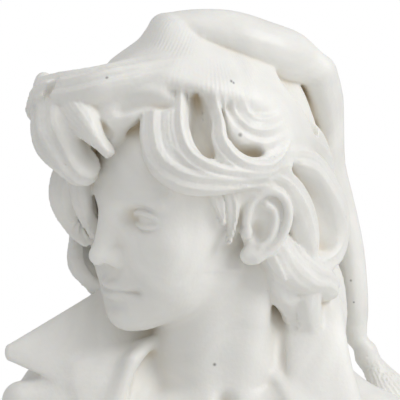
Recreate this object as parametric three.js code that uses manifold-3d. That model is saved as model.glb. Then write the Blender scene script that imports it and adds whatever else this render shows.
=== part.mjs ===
// Marble bust of a curly-haired youth in a long fisherman's cap, carved from one block and cut flat below.
//
// Millimetres, +Z up. The origin is the middle of the flat underside, the chest faces -Y, and the youth's
// left shoulder is towards +X. The head is turned over the right shoulder, nods and leans a little.
//
// The block is worked the way a carver works it: every form is a distance field, added to the stone or carved
// out of it with a small rounded blend, and the surface that is left becomes one closed mesh.
import * as THREE from "three";
import { triTable } from "three/addons/objects/MarchingCubes.js";
import { mergeVertices } from "three/addons/utils/BufferGeometryUtils.js";
import Module from "manifold-3d";

// ---------------------------------------------------------------- driving dimensions

const HEAD_HEIGHT = 202; // chin to crown, a youth's
const BUST = { halfWidth: 200, front: 165, back: 130, height: 495 }; // the block that the grid covers
const GRAIN = 3.6; // the cutting grid's step
const FACETS = 9600; // triangles left after the surface is thinned out

const HEAD_AT = new THREE.Vector3(-23, -15, 309); // midway between the ears
const HEAD_TURN = 52; // degrees, towards the right shoulder
const HEAD_NOD = 9;
const HEAD_LEAN = 11; // towards the left shoulder
const SKULL = { half: 70, front: 89, back: 93, top: 112 }; // measured from the middle of the head

const third = HEAD_HEIGHT * 0.29; // brow to nose base, and nose base to chin
const BROW = 30;
const NOSE_BASE = BROW - third;
const CHIN = NOSE_BASE - third;
const EYE_LINE = 13;
const MOUTH_LINE = NOSE_BASE - third * 0.36;

const FOLD_DEPTH = 2.6; // of the shirt's folds

const MARBLE = new THREE.MeshStandardMaterial({ color: 0xe9e7e1, roughness: 0.45, metalness: 0 });

// ---------------------------------------------------------------- small tools

const V = (x, y, z) => new THREE.Vector3(x, y, z);
const rad = THREE.MathUtils.degToRad;
const mix = THREE.MathUtils.lerp;
const ramp = (t, from, to) => THREE.MathUtils.smoothstep(t, from, to);
const WORLD_AXES = [V(1, 0, 0), V(0, 1, 0), V(0, 0, 1)];

// The head's own frame: x to its left, y to its back, z to its crown.
const headTurn = new THREE.Matrix4()
  .makeRotationZ(rad(-HEAD_TURN))
  .multiply(new THREE.Matrix4().makeRotationX(rad(HEAD_NOD)))
  .multiply(new THREE.Matrix4().makeRotationY(rad(HEAD_LEAN)));
const HEAD_AXES = WORLD_AXES.map((axis) => axis.clone().applyMatrix4(headTurn));

// A place on or in the head: millimetres to its left, forward of the ears, and above them.
function inHead(left, forward, up) {
  return V(left, -forward, up).applyMatrix4(headTurn).add(HEAD_AT);
}

// A place over the skull: degrees round from the brow to the left, degrees up, and millimetres off the bone.
function overSkull([round, up, rise]) {
  const side = Math.cos(rad(up)) * Math.sin(rad(round));
  const ahead = Math.cos(rad(up)) * Math.cos(rad(round));
  const depth = ahead > 0 ? SKULL.front : SKULL.back;
  return inHead(side * (SKULL.half + rise), ahead * (depth + rise), Math.sin(rad(up)) * (SKULL.top + rise));
}

// Axes of a form turned about the head's own axes, in degrees.
function headAxes(nod = 0, lean = 0, turn = 0) {
  const turned = headTurn.clone().multiply(
    new THREE.Matrix4().makeRotationFromEuler(new THREE.Euler(rad(nod), rad(lean), rad(turn), "ZYX")),
  );
  return WORLD_AXES.map((axis) => axis.clone().applyMatrix4(turned));
}

// ---------------------------------------------------------------- forms
// A form is a box, low to high, and a distance that is negative inside it.

// An ellipsoid with its radii along its three axes.
function egg(centre, radii, axes = WORLD_AXES) {
  const [a, b, c] = axes;
  const [ra, rb, rc] = radii;
  const reach = (k) =>
    Math.hypot(ra * a.getComponent(k), rb * b.getComponent(k), rc * c.getComponent(k));
  const extent = V(reach(0), reach(1), reach(2));
  return {
    low: centre.clone().sub(extent),
    high: centre.clone().add(extent),
    distance(x, y, z) {
      const dx = x - centre.x;
      const dy = y - centre.y;
      const dz = z - centre.z;
      const u = (dx * a.x + dy * a.y + dz * a.z) / ra;
      const v = (dx * b.x + dy * b.y + dz * b.z) / rb;
      const w = (dx * c.x + dy * c.y + dz * c.z) / rc;
      const near = Math.sqrt(u * u + v * v + w * w);
      const slope = Math.hypot(u / ra, v / rb, w / rc);
      return slope < 1e-9 ? -Math.min(ra, rb, rc) : (near * (near - 1)) / slope;
    },
  };
}

// Everything under a sloping plane through a place in the head, whose normal is given along the head's axes.
function beneath(place, normal) {
  const up = V(0, 0, 0);
  HEAD_AXES.forEach((axis, k) => up.addScaledVector(axis, (k === 1 ? -1 : 1) * normal.getComponent(k)));
  up.normalize();
  const far = V(1000, 1000, 1000);
  return {
    low: place.clone().sub(far),
    high: place.clone().add(far),
    distance: (x, y, z) => (x - place.x) * up.x + (y - place.y) * up.y + (z - place.z) * up.z,
  };
}

// A round bar from a to b whose radius goes from ra to rb.
function bar(a, b, ra, rb = ra) {
  const along = b.clone().sub(a);
  const length2 = along.lengthSq();
  return {
    low: V(Math.min(a.x - ra, b.x - rb), Math.min(a.y - ra, b.y - rb), Math.min(a.z - ra, b.z - rb)),
    high: V(Math.max(a.x + ra, b.x + rb), Math.max(a.y + ra, b.y + rb), Math.max(a.z + ra, b.z + rb)),
    distance(x, y, z) {
      const dx = x - a.x;
      const dy = y - a.y;
      const dz = z - a.z;
      const t = Math.min(1, Math.max(0, (dx * along.x + dy * along.y + dz * along.z) / length2));
      return Math.hypot(dx - t * along.x, dy - t * along.y, dz - t * along.z) - mix(ra, rb, ramp(t, 0, 1));
    },
  };
}

// A strand swept along a smooth path: an oval section, half as wide as wide(t) says and half as thick as
// thick(t) says, whose flat side faces along the direction that outward(place, t) gives.
// Grooves run along it, so many across its width, and gather where it tapers.
function strand(path, { wide, thick, outward, grooves = 0, grooveDepth = 0, steps = 20 }) {
  const curve = new THREE.CatmullRomCurve3(path, false, "centripetal");
  const places = curve.getSpacedPoints(steps);
  const low = V(Infinity, Infinity, Infinity);
  const high = V(-Infinity, -Infinity, -Infinity);
  const rows = places.map((place, i) => {
    const t = i / steps;
    const tangent = curve.getTangentAt(t);
    const out = outward(place, t).clone();
    out.addScaledVector(tangent, -out.dot(tangent)).normalize();
    const side = V(0, 0, 0).crossVectors(tangent, out);
    const w = wide(t);
    const h = thick(t);
    const reach = Math.max(w, h);
    low.min(V(place.x - reach, place.y - reach, place.z - reach));
    high.max(V(place.x + reach, place.y + reach, place.z + reach));
    return { place, out, side, w, h };
  });
  const phase = path[0].dot(V(0.31, 0.17, 0.23)); // so that no two strands are grooved alike
  return {
    low,
    high,
    distance(x, y, z) {
      let best = Infinity;
      let at = 0;
      let share = 0;
      for (let i = 0; i < steps; i++) {
        const a = rows[i].place;
        const b = rows[i + 1].place;
        const ex = b.x - a.x;
        const ey = b.y - a.y;
        const ez = b.z - a.z;
        const dx = x - a.x;
        const dy = y - a.y;
        const dz = z - a.z;
        const t = Math.min(1, Math.max(0, (dx * ex + dy * ey + dz * ez) / (ex * ex + ey * ey + ez * ez)));
        const gap = (dx - t * ex) ** 2 + (dy - t * ey) ** 2 + (dz - t * ez) ** 2;
        if (gap < best) {
          best = gap;
          at = i;
          share = t;
        }
      }
      const from = rows[at];
      const to = rows[at + 1];
      const dx = x - mix(from.place.x, to.place.x, share);
      const dy = y - mix(from.place.y, to.place.y, share);
      const dz = z - mix(from.place.z, to.place.z, share);
      const w = mix(from.w, to.w, share);
      const h = mix(from.h, to.h, share);
      const u = dx * mix(from.side.x, to.side.x, share) + dy * mix(from.side.y, to.side.y, share) +
        dz * mix(from.side.z, to.side.z, share);
      const v = dx * mix(from.out.x, to.out.x, share) + dy * mix(from.out.y, to.out.y, share) +
        dz * mix(from.out.z, to.out.z, share);
      const rest = Math.sqrt(Math.max(0, best - u * u - v * v)); // past the ends only
      const near = Math.hypot(u / w, v / h, rest / h);
      const slope = Math.hypot(u / (w * w), v / (h * h), rest / (h * h));
      let d = slope < 1e-9 ? -Math.min(w, h) : (near * (near - 1)) / slope;
      if (grooves) {
        const along = (at + share) / steps;
        const across = (Math.PI * grooves * u) / w;
        d -= grooveDepth * Math.cos(across + phase + 0.8 * Math.sin(4 * along + phase)) * Math.min(1, near);
      }
      return d;
    },
  };
}

// ---------------------------------------------------------------- the stone

// The stone is a grid of distances. Adding and carving only touch the cells around a form.
class Stone {
  constructor(low, high, step) {
    this.low = low;
    this.high = high;
    this.step = step;
    this.count = V(0, 0, 0).subVectors(high, low).divideScalar(step).ceil().addScalar(1);
    this.cells = new Float32Array(this.count.x * this.count.y * this.count.z).fill(60);
  }

  index(i, j, k) {
    return (k * this.count.y + j) * this.count.x + i;
  }

  eachCell(visit) {
    const { count } = this;
    for (let k = 0; k < count.z; k++)
      for (let j = 0; j < count.y; j++)
        for (let i = 0; i < count.x; i++)
          visit(i, j, k, this.index(i, j, k));
  }

  // Calls change(distance so far, distance to the form) for each cell near the form, and keeps the result.
  each(form, margin, change) {
    const { low, step, count, cells } = this;
    const first = form.low.clone().sub(low).subScalar(margin).divideScalar(step).floor().max(V(0, 0, 0));
    const last = form.high.clone().sub(low).addScalar(margin).divideScalar(step).ceil();
    last.min(count.clone().subScalar(1));
    for (let k = first.z; k <= last.z; k++)
      for (let j = first.y; j <= last.y; j++)
        for (let i = first.x; i <= last.x; i++) {
          const n = this.index(i, j, k);
          const d = form.distance(low.x + i * step, low.y + j * step, low.z + k * step);
          cells[n] = change(cells[n], d);
        }
  }

  // Joins a form to the stone, filling the corner between them over about blend millimetres.
  add(form, blend = 2) {
    this.each(form, blend + 3 * this.step, (was, d) => {
      const h = Math.max(blend - Math.abs(was - d), 0) / blend;
      return Math.min(was, d) - (h * h * blend) / 4;
    });
  }

  // Takes a form out of the stone, rounding the edge over about blend millimetres.
  carve(form, blend = 2) {
    this.each(form, blend + 3 * this.step, (was, d) => {
      const h = Math.max(blend - Math.abs(was + d), 0) / blend;
      return Math.max(was, -d) + (h * h * blend) / 4;
    });
  }

  // Another stone on the same grid, still empty.
  spare() {
    return new Stone(this.low, this.high, this.step);
  }

  // Joins another stone of the same grid to this one.
  join(other, blend) {
    const { cells } = this;
    for (let n = 0; n < cells.length; n++) {
      const h = Math.max(blend - Math.abs(cells[n] - other.cells[n]), 0) / blend;
      cells[n] = Math.min(cells[n], other.cells[n]) - (h * h * blend) / 4;
    }
  }

  // The surface where the distance is nought, by marching cubes over the grid: corners and triangles.
  surface() {
    const { low, step, count, cells } = this;
    const corners = [];
    const triangles = [];
    const made = new Map(); // grid edge to corner number
    const last = count.clone().subScalar(1);
    const isRim = (i, j, k) => !i || !j || !k || i === last.x || j === last.y || k === last.z;
    this.eachCell((i, j, k, n) => {
      if (isRim(i, j, k)) cells[n] = Math.max(cells[n], step);
    });
    const OFFSETS = [[0, 0, 0], [1, 0, 0], [1, 1, 0], [0, 1, 0], [0, 0, 1], [1, 0, 1], [1, 1, 1], [0, 1, 1]];
    const EDGES = [[0, 1], [1, 2], [2, 3], [3, 0], [4, 5], [5, 6], [6, 7], [7, 4],
      [0, 4], [1, 5], [2, 6], [3, 7]];
    const corner = (i, j, k, edge) => {
      const [from, to] = EDGES[edge].map((c) => OFFSETS[c].map((o, axis) => o + [i, j, k][axis]));
      const [a, b] = [this.index(...from), this.index(...to)];
      const key = Math.min(a, b) * 4 + (from[0] !== to[0] ? 0 : from[1] !== to[1] ? 1 : 2);
      if (!made.has(key)) {
        const t = Math.min(0.98, Math.max(0.02, cells[a] / (cells[a] - cells[b])));
        made.set(key, corners.length);
        corners.push(V(...from.map((c, axis) => mix(c, to[axis], t))).multiplyScalar(step).add(low));
      }
      return made.get(key);
    };
    this.eachCell((i, j, k) => {
      if (i === last.x || j === last.y || k === last.z) return;
      let mask = 0;
      OFFSETS.forEach(([x, y, z], c) => {
        if (cells[this.index(i + x, j + y, k + z)] < 0) mask |= 1 << c;
      });
      if (mask === 0 || mask === 255) return;
      for (let n = mask * 16; triTable[n] !== -1; n += 3)
        triangles.push([2, 1, 0].map((s) => corner(i, j, k, triTable[n + s])));
    });
    return { corners, triangles };
  }
}

// A heap of edges, cheapest first.
class Heap {
  items = [];

  push(item) {
    const { items } = this;
    let n = items.push(item) - 1;
    while (n > 0) {
      const parent = (n - 1) >> 1;
      if (items[parent].cost <= item.cost) break;
      items[n] = items[parent];
      n = parent;
    }
    items[n] = item;
  }

  pop() {
    const { items } = this;
    const top = items[0];
    const item = items.pop();
    if (!items.length) return top;
    let n = 0;
    for (let child = 1; child < items.length; child = 2 * n + 1) {
      if (child + 1 < items.length && items[child + 1].cost < items[child].cost) child++;
      if (item.cost <= items[child].cost) break;
      items[n] = items[child];
      n = child;
    }
    items[n] = item;
    return top;
  }
}

// Thins a surface out to a number of triangles, always dropping the edge that moves the surface least. Each
// corner keeps the sum of squared distances to the planes that met in it, as a symmetric 4 x 4 matrix.
function thinOut({ corners, triangles }, target) {
  const faces = triangles.map((t) => [...t]);
  const around = corners.map(() => new Set());
  const planes = corners.map(() => new Float64Array(10));
  const version = new Uint32Array(corners.length);
  const normalOf = (a, b, c) => b.clone().sub(a).cross(c.clone().sub(a));
  faces.forEach((face, f) => {
    const [a, b, c] = face.map((n) => corners[n]);
    const normal = normalOf(a, b, c);
    const area = normal.length();
    normal.divideScalar(area || 1);
    const p = [normal.x, normal.y, normal.z, -normal.dot(a)];
    face.forEach((n) => {
      around[n].add(f);
      for (let i = 0, m = 0; i < 4; i++) for (let j = i; j < 4; j++) planes[n][m++] += area * p[i] * p[j];
    });
  });
  const misfit = (q, p) =>
    q[0] * p.x * p.x + 2 * q[1] * p.x * p.y + 2 * q[2] * p.x * p.z + 2 * q[3] * p.x + q[4] * p.y * p.y +
    2 * q[5] * p.y * p.z + 2 * q[6] * p.y + q[7] * p.z * p.z + 2 * q[8] * p.z + q[9];
  const neighbours = (n) => new Set([...around[n]].flatMap((f) => faces[f]).filter((m) => m !== n));
  const heap = new Heap();
  const weigh = (a, b) => {
    const q = planes[a].map((value, m) => value + planes[b][m]);
    const system = new THREE.Matrix3().set(q[0], q[1], q[2], q[1], q[4], q[5], q[2], q[5], q[7]);
    const middle = corners[a].clone().lerp(corners[b], 0.5);
    let choices = [middle, corners[a], corners[b]];
    const scale = (q[0] + q[4] + q[7]) / 3;
    if (Math.abs(system.determinant()) > 1e-3 * scale ** 3) {
      const best = V(-q[3], -q[6], -q[8]).applyMatrix3(system.invert());
      if (best.distanceTo(middle) < 2 * corners[a].distanceTo(corners[b])) choices = [best];
    }
    const costs = choices.map((p) => misfit(q, p));
    const least = Math.min(...costs);
    const length2 = corners[a].distanceToSquared(corners[b]);
    heap.push({
      cost: least + 1e-4 * length2,
      a,
      b,
      place: choices[costs.indexOf(least)],
      stamp: version[a] + version[b],
    });
  };
  faces.forEach(([a, b, c]) => [[a, b], [b, c], [c, a]].forEach(([m, n]) => m < n && weigh(m, n)));
  let left = faces.length;
  while (left > target && heap.items.length) {
    const { a, b, place, stamp } = heap.pop();
    if (!around[a].size || !around[b].size || version[a] + version[b] !== stamp) continue;
    const shared = [...around[a]].filter((f) => around[b].has(f));
    const near = neighbours(a);
    if (shared.length !== 2 || [...neighbours(b)].filter((n) => near.has(n)).length !== 2) continue;
    const flips = [a, b].some((n) =>
      [...around[n]].some((f) => {
        if (shared.includes(f)) return false;
        const was = faces[f].map((m) => corners[m]);
        const now = faces[f].map((m) => (m === n ? place : corners[m]));
        const before = normalOf(...was);
        const after = normalOf(...now);
        return before.dot(after) < 0.2 * before.length() * after.length();
      }),
    );
    if (flips) continue;
    corners[a].copy(place);
    planes[a].forEach((value, m) => (planes[a][m] = value + planes[b][m]));
    for (const f of shared) {
      faces[f].forEach((n) => around[n].delete(f));
      faces[f] = null;
    }
    for (const f of around[b]) {
      faces[f] = faces[f].map((n) => (n === b ? a : n));
      around[a].add(f);
    }
    around[b].clear();
    left -= 2;
    version[a] += 1;
    for (const n of neighbours(a)) weigh(a, n);
  }
  return { corners, triangles: faces.filter(Boolean) };
}

// ---------------------------------------------------------------- head and neck

const headEgg = (left, forward, up, radii, axes = HEAD_AXES) => egg(inHead(left, forward, up), radii, axes);
const headBar = (a, b, ra, rb) => bar(inHead(...a), inHead(...b), ra, rb);

// The whole face is worked in its own stone, so that its sockets and grooves cannot cut the hair.
function workHead(stone) {
  const head = stone.spare();

  // skull, forehead and the tapering mask of the face
  head.add(headEgg(0, -4, 36, [SKULL.half, 88, 76]), 2);
  head.add(headEgg(0, 34, 42, [60, 53, 52]), 20);
  head.add(headEgg(0, 34, -22, [50, 49, 62]), 26);
  for (const side of [-1, 1]) {
    head.add(headBar([side * 43, 6, -40], [side * 15, 60, CHIN + 17], 13, 13), 22); // jaw
    head.add(headEgg(side * 36, 52, -14, [21, 21, 22]), 24); // cheek
    head.add(headEgg(side * 28, 48, -42, [24, 24, 24]), 20);
    head.carve(headEgg(side * 86, 56, 26, [18, 30, 26]), 26); // temple
  }
  head.add(headEgg(0, 71, CHIN + 15, [17, 15, 15]), 14); // chin
  head.add(headEgg(0, 67, MOUTH_LINE + 2, [26, 20, 21]), 14); // muzzle

  for (const side of [-1, 1]) workEye(head, side);

  // nose
  head.add(headBar([0, 83, BROW - 5], [0, 96.5, NOSE_BASE + 11], 7, 7.5), 14);
  head.add(headEgg(0, 97, NOSE_BASE + 9, [8, 9.5, 8]), 5);
  for (const side of [-1, 1]) {
    head.add(headEgg(side * 9.5, 87, NOSE_BASE + 6.5, [5.8, 9, 6.6]), 6);
    head.carve(headEgg(side * 5.6, 95, NOSE_BASE + 0.5, [2.8, 5, 3]), 3);
  }

  // lips, the line between them, and the hollows above and below
  for (const side of [-1, 1]) {
    head.add(headBar([side * 3.5, 87, MOUTH_LINE + 4.4], [side * 21, 76, MOUTH_LINE + 0.6], 4.9, 2), 3);
    head.add(headBar([side * 3, 86, MOUTH_LINE - 5.8], [side * 17, 78.5, MOUTH_LINE - 3], 5.6, 2.2), 3.5);
    head.carve(headEgg(side * 25, 80, MOUTH_LINE, [2.5, 3, 2.5]), 8);
  }
  const between = [-23, -12, 0, 12, 23].map((s) =>
    inHead(s, 92.5 - 0.026 * s * s, MOUTH_LINE - 0.6 + (Math.abs(s) === 12 ? 0.8 : 0)),
  );
  head.carve(strand(between, { wide: () => 1.6, thick: () => 3.4, outward: () => HEAD_AXES[1] }), 2);
  head.carve(headBar([-10, 89, MOUTH_LINE - 14.5], [10, 89, MOUTH_LINE - 14.5], 4), 9);
  head.carve(headBar([0, 92, NOSE_BASE - 3], [0, 93, MOUTH_LINE + 10], 2.2), 5);

  for (const side of [-1, 1]) workEar(head, side);
  return head;
}

// A ball deep in its socket under the brow, and two lids that close over it towards the corners.
function workEye(head, side) {
  // degrees outward from straight ahead, degrees up, and millimetres from the ball's middle
  const onBall = (across, up, reach) => {
    const [a, u] = [rad(across), rad(up)];
    return inHead(side * (30 + reach * Math.cos(u) * Math.sin(a)), 62 + reach * Math.cos(u) * Math.cos(a),
      EYE_LINE + reach * Math.sin(u));
  };
  const middle = onBall(0, 0, 0);
  const lid = (places, wide, thick) => {
    const size = {
      wide: (t) => wide * (0.55 + 0.45 * Math.sin(Math.PI * t)),
      thick: () => thick,
      outward: (p) => p.clone().sub(middle),
    };
    head.add(strand(places.map(([across, up]) => onBall(across, up, 15.8)), size), 1);
  };
  head.add(headBar([side * 12, 83.5, BROW - 3], [side * 46, 68.5, BROW + 1], 5.5, 4.5), 9);
  head.carve(headEgg(side * 33, 91, EYE_LINE, [23, 21.5, 13.5]), 6);
  head.add(egg(middle, [17, 13.6, 14.5], HEAD_AXES), 4);
  head.carve(egg(onBall(10, 0, 16), [13, 6, 5], HEAD_AXES), 1.5);
  head.add(egg(middle, [14.4, 14.4, 14.4]), 1);
  lid([[-52, -9], [-36, 11], [-4, 23], [34, 18], [72, -5]], 2.8, 3);
  lid([[-52, -9], [-28, -18], [6, -23], [42, -18], [72, -5]], 2.2, 2.4);
}

// An ear: a tilted disc, hollowed, with a rolled rim, an inner fold, the tragus and the lobe.
function workEar(head, side) {
  const axes = headAxes(-10, 0, side * -30);
  const [out, back, up] = axes;
  const middle = inHead(side * (SKULL.half + 6), -12, 3);
  const inEar = (o, b, u) =>
    middle.clone().addScaledVector(out, side * o).addScaledVector(back, b).addScaledVector(up, u);
  head.add(egg(inEar(-3, 0, 3), [8, 19, 27], axes), 5);
  head.carve(egg(inEar(8, 0, 3), [8, 14, 21], axes), 4);
  const rim = [[-15, 2], [-14, 17], [-4, 29], [10, 28], [19, 14], [18, -4], [10, -19], [0, -28]];
  const rimPath = rim.map(([b, u]) => inEar(4, b, u));
  head.add(strand(rimPath, { wide: () => 3.6, thick: () => 3.8, outward: () => out }), 3);
  const fold = [[-1, 18], [6, 14], [9, 4], [7, -8], [1, -16]].map(([b, u]) => inEar(3, b, u));
  head.add(strand(fold, { wide: () => 3, thick: () => 3.4, outward: () => out }), 4);
  head.carve(egg(inEar(3, -3, -5), [7, 7, 9], axes), 4);
  head.add(egg(inEar(4, -13, -7), [5, 5, 6], axes), 4);
  head.add(egg(inEar(1, -6, -26), [4.6, 8.5, 8.5], axes), 5);
}

// ---------------------------------------------------------------- body and shirt

// Chest, shoulder blades, shoulders and the stumps of the arms, everything swollen by so many millimetres.
function bodyForms(swell) {
  const forms = [
    [egg(V(0, 6, 70), [118 + swell, 76 + swell, 112 + swell]), 30],
    [egg(V(0, 40, 106), [104 + swell, 56 + swell, 86 + swell]), 30],
  ];
  for (const side of [-1, 1]) {
    forms.push([bar(V(side * 22, 30, 196), V(side * 124, 22, 106), 32 + swell, 34 + swell), 28]);
    forms.push([bar(V(side * 132, 18, 98), V(side * 118, 6, -20), 38 + swell, 38 + swell), 26]);
    forms.push([egg(V(side * 52, -34, 84), [56 + swell, 46 + swell, 56 + swell]), 30]);
  }
  return forms;
}

function workNeck(stone) {
  for (const [form, blend] of bodyForms(0)) stone.add(form, blend);
  stone.add(bar(V(-14, -2, 262), V(0, 12, 166), 49, 57), 12);
  stone.add(bar(V(44, 16, 246), V(58, 8, 180), 24, 28), 14);
  const notch = V(4, -44, 150);
  const beside = (x, y, z) => notch.clone().add(V(x, y, z));
  for (const side of [-1, 1]) {
    const behindEar = inHead(side * 52, -30, -34);
    stone.add(bar(behindEar, beside(side * 12, 7, 0), 15, 9), 18);
    stone.add(bar(beside(side * 14, 3, -3), V(side * 96, -24, 140), 7, 9), 16); // clavicle
  }
  stone.carve(egg(beside(0, -5, 0), [6, 6, 8]), 10);
}

function workShirt(stone) {
  const shirt = stone.spare();
  for (const [form, blend] of bodyForms(10)) shirt.add(form, blend);
  // the cloth hangs in folds that fan out from the neck
  shirt.eachCell((i, j, k, n) => {
    const [x, y, z] = [i, j, k].map((steps, axis) => shirt.low.getComponent(axis) + steps * shirt.step);
    const below = Math.max(0, 236 - z);
    const away = Math.hypot(x, below);
    const sway = 1.3 * Math.sin(away / 34 + Math.sign(y)) + 0.9 * Math.sin(y / 30);
    const fan = Math.atan2(x, below + 20) * 11 + sway;
    const start = THREE.MathUtils.clamp((away - 60) / 60, 0, 1);
    shirt.cells[n] -= FOLD_DEPTH * (Math.cos(fan) - 0.4 * Math.cos(2 * fan)) * start;
  });
  shirt.carve(egg(V(-14, -64, 140), [72, 84, 84]), 6);
  return shirt;
}

// ---------------------------------------------------------------- the collar

function workCollar(stone) {
  // the shirt is full under the right flap, and gathered
  stone.add(egg(V(-116, -12, 146), [56, 38, 54]), 16);
  for (let n = 0; n < 6; n++) {
    const fan = rad(199 + 10.5 * n);
    const reach = V(Math.cos(fan), -0.25, Math.sin(fan)).multiplyScalar(66);
    const root = V(-58 - 3 * n, -20 - 5 * n, 202 - 3 * n);
    stone.add(bar(root, root.clone().add(reach), 2.5, 5), 10);
  }
  // the right flap stands out over the shoulder, down to its point
  const spine = [V(-42, 2, 198), V(-90, -22, 197), V(-136, -31, 195), V(-175, -36, 193)];
  const flap = {
    wide: (t) => 58 * Math.min(1, (1.1 - t) / 0.76),
    thick: (t) => mix(8, 4.5, t),
    outward: () => V(-0.25, -0.93, 0.3),
  };
  stone.add(strand(spine, flap), 5);
  stone.add(bar(V(-70, -14, 146), V(-166, -32, 153), 24, 16), 8); // a fold of the sleeve under it
  // the left flap stands up by the neck, its front edge hanging straight
  const left = [V(76, 14, 258), V(79, -4, 232), V(81, -18, 204), V(84, -30, 176), V(90, -44, 146),
    V(94, -54, 110)];
  const hanging = { wide: (t) => mix(22, 32, t), thick: () => 7, outward: () => V(0.12, -0.9, 0.3) };
  stone.add(strand(left, hanging), 5);
  const back = [V(-96, 40, 204), V(-60, 66, 226), V(0, 80, 236), V(60, 62, 236), V(90, 24, 232)];
  const round = { wide: () => 30, thick: () => 8, outward: (p) => V(p.x / 90, (p.y - 10) / 90, 0.3) };
  stone.add(strand(back, round), 8);
  // and the sleeve puffs out over the arm
  stone.add(egg(V(-142, -8, 116), [50, 50, 50]), 14);
}

// ---------------------------------------------------------------- the cap

// The close part of the cap, over the head and up to its peak.
function workDome(stone) {
  const cap = stone.spare();
  cap.add(headEgg(0, -14, 84, [77, 88, 63]), 2);
  cap.add(headEgg(0, 28, 100, [66, 60, 46]), 22);
  cap.add(headBar([0, 14, 118], [0, 22, 156], 38, 15), 34);
  cap.carve(beneath(inHead(0, 0, 103), V(0, -0.36, 1)), 10);
  return cap;
}

// The deep hollow behind the dome, where the tail stands away from it.
function openGap(stone) {
  const gap = [V(60, -44, 422), V(69, -38, 407), V(75, -30, 391), V(78, -22, 372)];
  const opening = {
    wide: (t) => mix(12, 7, t),
    thick: (t) => mix(21, 15, t),
    outward: () => V(-0.35, -0.9, 0),
  };
  stone.carve(strand(gap, opening), 2);
}

// The cap's long end: folded back over the dome, hanging behind the head, through a ring, into a tassel.
function workTail(stone) {
  const cap = stone.spare();
  const roll = [[-8, 22, 157], [4, 6, 158], [16, -18, 153], [27, -48, 141], [34, -80, 128], [40, -104, 114]];
  const folded = {
    wide: (t) => mix(17, 26, ramp(t, 0, 0.45)) * mix(1, 0.55, ramp(t, 0.55, 1)),
    thick: (t) => mix(14, 22, ramp(t, 0, 0.5)) * mix(1, 0.7, ramp(t, 0.75, 1)),
    outward: () => HEAD_AXES[2],
  };
  cap.add(strand(roll.map((p) => inHead(...p)), folded), 1.5);
  const fall = [V(83, 0, 426), V(89, 14, 408), V(92, 30, 386), V(96, 44, 350), V(105, 52, 318),
    V(114, 57, 276), V(118, 60, 232), V(119, 62, 204), V(128, 63, 188)];
  const hanging = {
    wide: (t) => mix(21, 8, ramp(t, 0.75, 1)),
    thick: (t) => mix(17, 13, ramp(t, 0, 0.5)) * mix(1, 0.55, ramp(t, 0.88, 1)),
    outward: () => V(1, 0, 0),
  };
  cap.add(strand(fall, hanging), 4);
  cap.add(egg(V(66, 14, 412), [22, 14, 28]), 6); // closes the hollow's back
  cap.add(bar(V(129, 63, 187), V(130, 63, 182), 10), 2);
  const tassel = [V(130, 63, 182), V(142, 62, 164), V(156, 56, 142), V(168, 50, 118)];
  const threads = {
    wide: (t) => mix(9, 26, ramp(t, 0, 0.8)),
    thick: (t) => mix(9, 13, t),
    outward: () => V(0.3, -0.8, 0.5),
  };
  cap.add(strand(tassel, threads), 4);
  return cap;
}

// ---------------------------------------------------------------- the hair

const CROWN = inHead(0, 0, 20); // the locks face away from here

// A lock through places in the stone, half as wide and thick as given, with a narrower root and tip.
function lock(path, { wide, thick, tip = 0.35, root = 0.8, grooves = 2 }) {
  return strand(path, {
    wide: (t) => wide * mix(root, 1, ramp(t, 0, 0.3)) * mix(1, tip, ramp(t, 0.5, 1)),
    thick: (t) => thick * mix(1, 0.6 + 0.4 * tip, ramp(t, 0.5, 1)),
    outward: (place) => place.clone().sub(CROWN).setZ(Math.max(0, place.z - CROWN.z)),
    grooves,
    grooveDepth: 1.1,
  });
}

// Hair combed over the skull: degrees round from the brow, degrees up, and millimetres off the bone.
const COMBED = [
  { path: [[26, 66, 12], [34, 51, 15], [37, 40, 16], [42, 31, 16], [53, 25, 15], [68, 21, 15], [84, 18,
    13], [96, 15, 10]], wide: 17, thick: 15, tip: 0.6, grooves: 3 },
  { path: [[44, 64, 14], [48, 50, 19], [50, 39, 20], [55, 31, 20], [65, 26, 19], [78, 23, 18], [92, 22,
    16]], wide: 9, thick: 14, tip: 0.7 },
  { path: [[57, 62, 14], [60, 50, 10], [61, 42, 4], [62, 34, -3]], wide: 14, thick: 9, tip: 0.8, grooves:
    3 },
  { path: [[64, 64, 12], [70, 51, 17], [72, 42, 20], [71, 35, 21], [75, 29, 21], [83, 25, 20], [94, 24,
    20], [105, 28, 19], [114, 34, 15]], wide: 9, thick: 14, tip: 0.6 },
  { path: [[75, 56, 9], [78, 44, 12], [84, 35, 15], [95, 31, 17], [108, 33, 17], [122, 37, 13]], wide:
    11, thick: 12, tip: 0.7, grooves: 2 },
  { path: [[80, 58, 11], [85, 47, 15], [90, 40, 19], [99, 38, 20], [111, 39, 18], [124, 42, 14]], wide:
    10, thick: 13, tip: 0.7, grooves: 2 },
  { path: [[82, 66, 8], [92, 57, 13], [104, 51, 15], [118, 47, 14], [134, 42, 11]], wide: 12, thick: 11,
    grooves: 2 },
  { path: [[97, 25, 9], [109, 25, 16], [122, 21, 22], [132, 11, 27], [137, 0, 34], [138, -8, 37], [133,
    -14, 35], [124, -18, 26]], wide: 14, thick: 14, tip: 0.7, grooves: 2 },
  { path: [[100, 22, 7], [108, 17, 13], [114, 7, 18], [118, -4, 20], [121, -14, 20], [118, -24, 18]],
    wide: 14, thick: 13, tip: 0.7, grooves: 3 },
  { path: [[110, 36, 12], [128, 34, 16], [144, 28, 20], [156, 18, 24], [162, 4, 29], [160, -10, 30]],
    wide: 20, thick: 15, tip: 0.8, grooves: 3 },
  { path: [[88, 22, 8], [100, 18, 9], [112, 18, 10], [122, 12, 8]], wide: 9, thick: 9 },
];

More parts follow.
